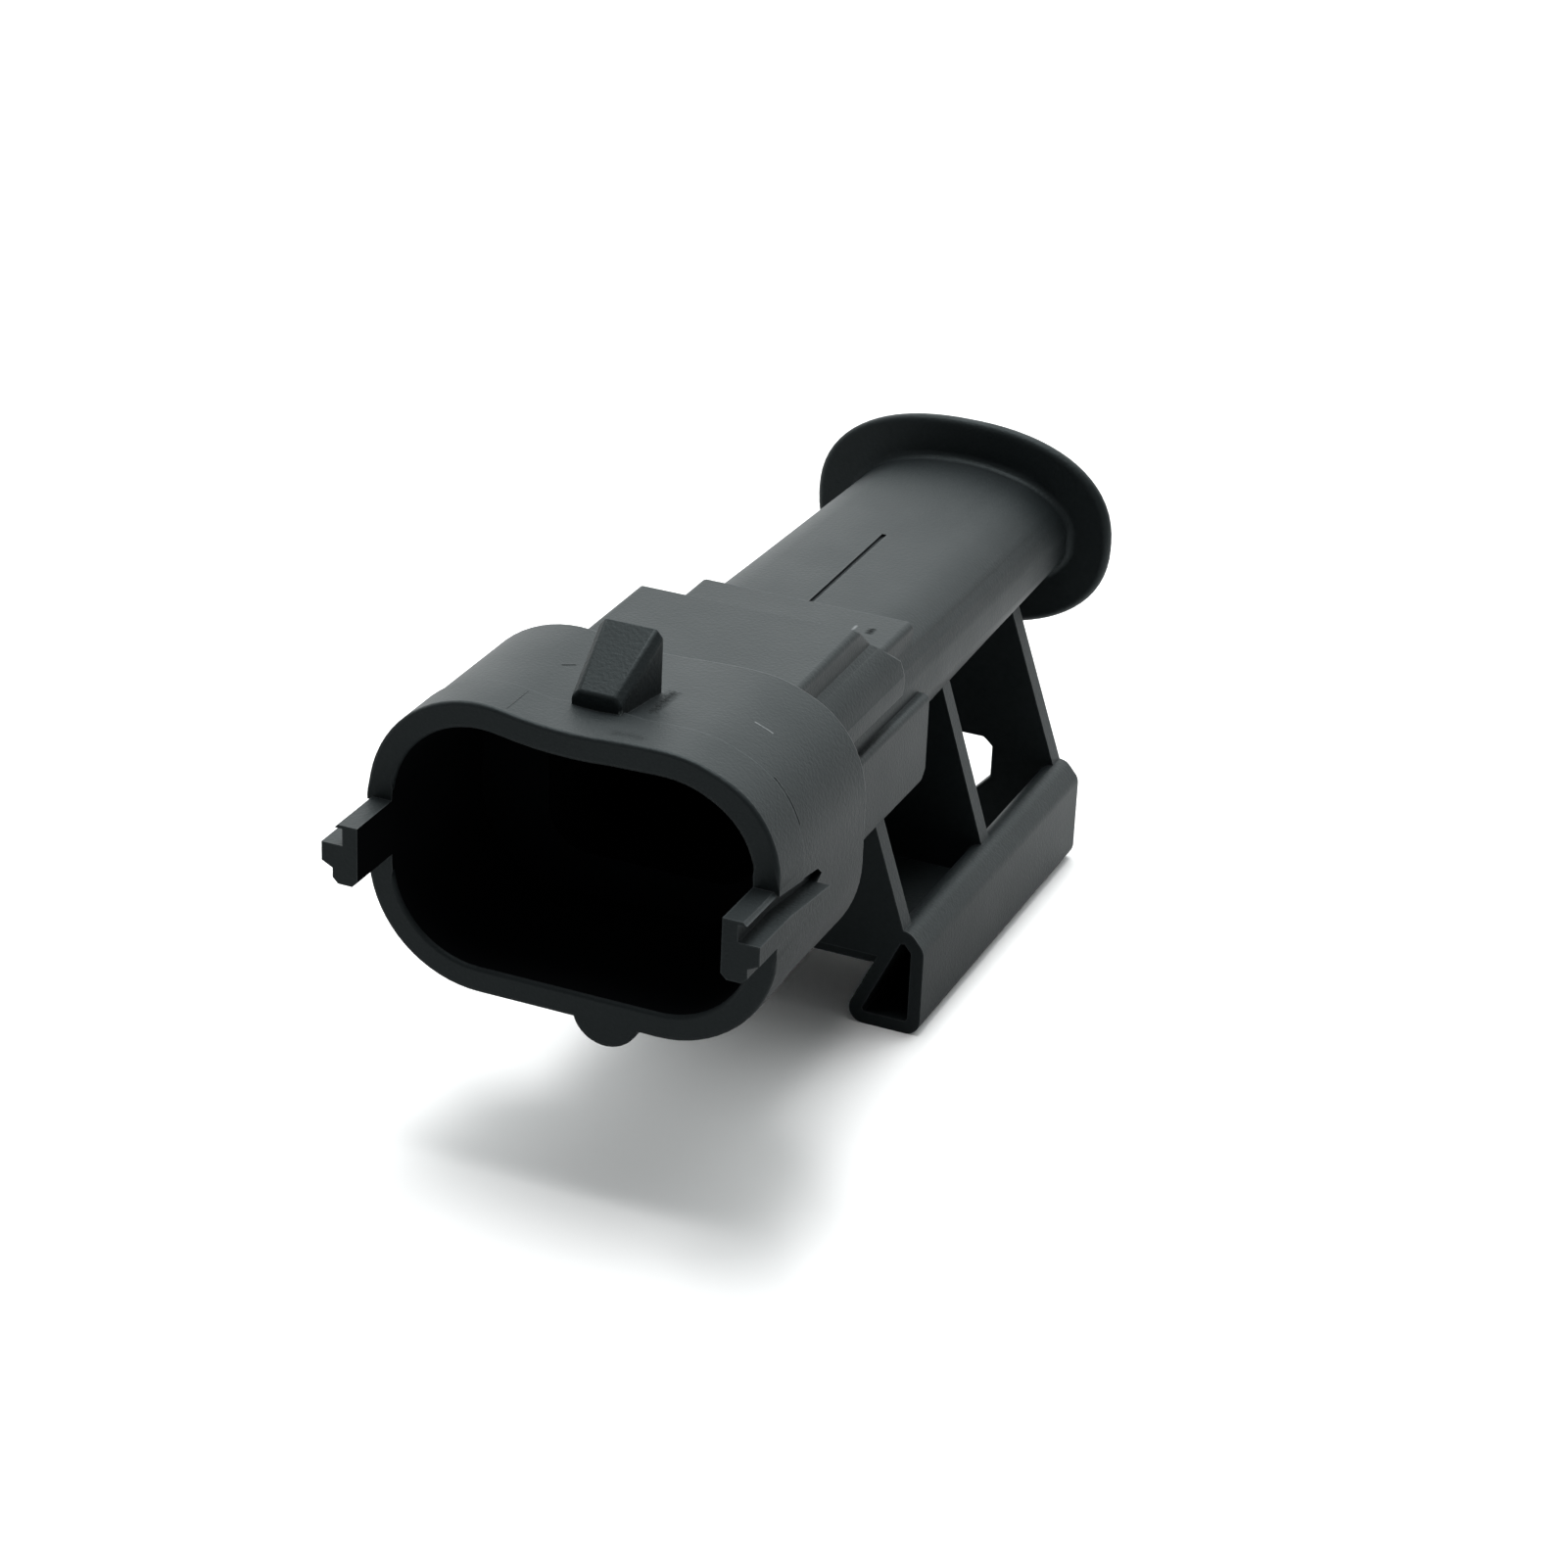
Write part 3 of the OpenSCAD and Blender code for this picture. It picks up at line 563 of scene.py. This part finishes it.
def make_moulding():
    """The housing as moulded: the CAD mesh with an oval tube and flange and rounded edges."""
    source = frame["nodes"]["housing"].data
    bm = bmesh.new()
    bm.from_mesh(source)
    bmesh.ops.remove_doubles(bm, verts=bm.verts, dist=1e-7)
    cut_tube_top(bm)
    draw_out_tube(bm)
    bmesh.ops.dissolve_limit(bm, angle_limit=math.radians(0.6), verts=bm.verts, edges=bm.edges)
    bm.verts.index_update()
    mesh = bpy.data.meshes.new("housing_moulding")
    mesh.from_pydata([v.co for v in bm.verts], [], [[v.index for v in f.verts] for f in bm.faces])
    bm.free()
    bm = bmesh.new()
    bm.from_mesh(mesh)
    weight = bm.edges.layers.float.new("bevel_weight_edge")
    for edge in bm.edges:
        edge[weight] = edge_round(edge) / RIM_ROUND
        if len(edge.link_faces) == 2:
            edge.smooth = edge.calc_face_angle() < math.radians(30)
    for face in bm.faces:
        face.smooth = True
        # faces inside the mouth get the nylon with painted shade
        face.material_index = 1 if lies_in_mouth(face) else 0
    bm.to_mesh(mesh)
    bm.free()
    thing = bpy.data.objects.new("housing_moulding", mesh)
    bpy.context.scene.collection.objects.link(thing)
    bevel = thing.modifiers.new("edge_rounding", "BEVEL")
    bevel.limit_method = "WEIGHT"
    bevel.width = RIM_ROUND
    bevel.segments = 3
    bevel.use_clamp_overlap = False
    bevel.miter_outer = "MITER_ARC"
    bevel.material = 0
    weighted = thing.modifiers.new("shading", "WEIGHTED_NORMAL")
    weighted.keep_sharp = True
    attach(thing, "root")
    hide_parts("housing")
    return thing


# ---- The object ----

def dress(node, material):
    """Gives a CAD node its material."""
    thing = frame["nodes"][node]
    thing.data.materials.clear()
    thing.data.materials.append(material)
    return thing


black_nylon = make_black_nylon()
tinned_copper = make_tinned_copper()
spring_steel = make_spring_steel()
red_silicone = make_red_silicone()

moulding = make_moulding()
moulding.data.materials.append(black_nylon)
moulding.data.materials.append(make_shaded_mouth_nylon())
channel_plate = make_channel_plate()
channel_plate.data.materials.append(black_nylon)
for side in ("left", "right"):
    dress("contact_" + side, tinned_copper)
    dress("sleeve_" + side, spring_steel)
    dress("seal_" + side, red_silicone)


# ---- Floor, lights and camera ----

FLOOR_REACH = 1.5
# The card's colour, the dimmer one it throws back in front, and where along Y one turns into the other
WHITE_CARD = (0.93, 0.93, 0.93)
DIM_CARD = (0.42, 0.42, 0.42)
CARD_TURN = (0.015, 0.07)
# Middle of the brightest part of the surroundings; how squarely a direction has to face it, and the strengths
GLOW_MIDDLE = (-0.25, 0.80, 0.55)
GLOW_FACING = (0.2, 0.95)
GLOW_STRENGTH = (0.17, 2.7)
GLOW_COLOUR = (0.97, 1.0, 1.0, 1.0)
# The camera's place in mm, and its turn, tilt and roll in degrees
CAMERA_PLACE = (83.48, -172.39, 98.97)
CAMERA_TURN = 22.53
CAMERA_TILT = 64.01
CAMERA_ROLL = 2.57


def map_softly(tree, value, reach):
    """A Map Range node that turns softly from 0 to 1 over a reach of a value."""
    node = add(tree, "MapRange", interpolation_type="SMOOTHSTEP")
    tree.links.new(value, node.inputs["Value"])
    node.inputs["From Min"].default_value = reach[0]
    node.inputs["From Max"].default_value = reach[1]
    return node

def make_floor():
    """White card under the part. What it throws back at the part is dimmer on the viewer's side."""
    low = cad_box[0].z
    mesh = bpy.data.meshes.new("floor")
    corners = [(-FLOOR_REACH, -FLOOR_REACH, low), (FLOOR_REACH, -FLOOR_REACH, low),
               (FLOOR_REACH, FLOOR_REACH, low), (-FLOOR_REACH, FLOOR_REACH, low)]
    mesh.from_pydata(corners, [], [(0, 1, 2, 3)])
    floor = bpy.data.objects.new("floor", mesh)
    bpy.context.scene.collection.objects.link(floor)
    material, tree, shader = new_material("white_card")
    seen = add(tree, "LightPath").outputs["Is Camera Ray"]
    way = add(tree, "SeparateXYZ")
    tree.links.new(add(tree, "TexCoord").outputs["Object"], way.inputs[0])
    behind = map_softly(tree, way.outputs["Y"], CARD_TURN)
    bounced = mix_colour(tree, behind.outputs["Result"], DIM_CARD, WHITE_CARD)
    tree.links.new(mix_colour(tree, seen, bounced, WHITE_CARD), shader.inputs["Base Color"])
    shader.inputs["Roughness"].default_value = 1.0
    shader.inputs["Specular IOR Level"].default_value = 0.0
    mesh.materials.append(material)


def make_world():
    """Pale surroundings: brighter behind and above, dimmer on the viewer's side."""
    world = bpy.data.worlds.new("studio")
    bpy.context.scene.world = world
    world.use_nodes = True
    tree = world.node_tree
    tree.nodes.clear()
    way = add(tree, "TexCoord").outputs["Generated"]
    facing = add(tree, "VectorMath", operation="DOT_PRODUCT")
    tree.links.new(way, facing.inputs[0])
    facing.inputs[1].default_value = Vector(GLOW_MIDDLE).normalized()
    glow = map_softly(tree, facing.outputs["Value"], GLOW_FACING)
    glow.inputs["To Min"].default_value = GLOW_STRENGTH[0]
    glow.inputs["To Max"].default_value = GLOW_STRENGTH[1]
    soft = add(tree, "Background")
    tree.links.new(glow.outputs["Result"], soft.inputs["Strength"])
    soft.inputs["Color"].default_value = GLOW_COLOUR
    white = add(tree, "Background")
    seen = add(tree, "LightPath").outputs["Is Camera Ray"]
    blend = add(tree, "MixShader")
    tree.links.new(seen, blend.inputs["Fac"])
    tree.links.new(soft.outputs[0], blend.inputs[1])
    tree.links.new(white.outputs[0], blend.inputs[2])
    out = add(tree, "OutputWorld")
    tree.links.new(blend.outputs[0], out.inputs["Surface"])


def add_softbox(name, place, target, size, power):
    """A rectangular lamp at a place, turned to a target."""
    lamp = bpy.data.lights.new(name, "AREA")
    lamp.shape = "RECTANGLE"
    lamp.size, lamp.size_y = size
    lamp.energy = power
    holder = bpy.data.objects.new(name, lamp)
    holder.location = place
    holder.rotation_mode = "QUATERNION"
    holder.rotation_quaternion = (Vector(target) - Vector(place)).to_track_quat("-Z", "Y")
    bpy.context.scene.collection.objects.link(holder)


def aim_camera():
    """The camera, in front of the mouth, above it and to its right."""
    data = bpy.data.cameras.new("camera")
    data.lens = 94.3
    data.sensor_width = 36.0
    data.clip_start = 0.01
    data.clip_end = 10.0
    camera = bpy.data.objects.new("camera", data)
    turn = Matrix.Rotation(math.radians(CAMERA_TURN), 4, "Z")
    tilt = Matrix.Rotation(math.radians(CAMERA_TILT), 4, "X")
    roll = Matrix.Rotation(math.radians(CAMERA_ROLL), 4, "Z")
    place = Matrix.Translation(Vector(CAMERA_PLACE) * MM)
    camera.matrix_world = place @ turn @ tilt @ roll
    bpy.context.scene.collection.objects.link(camera)
    bpy.context.scene.camera = camera


make_floor()
make_world()
add_softbox("key_softbox", (-0.03, 0.06, 0.45), (0.0, 0.02, 0.0), (0.14, 0.3), 1.8)
aim_camera()
bpy.context.scene.view_settings.view_transform = "Standard"
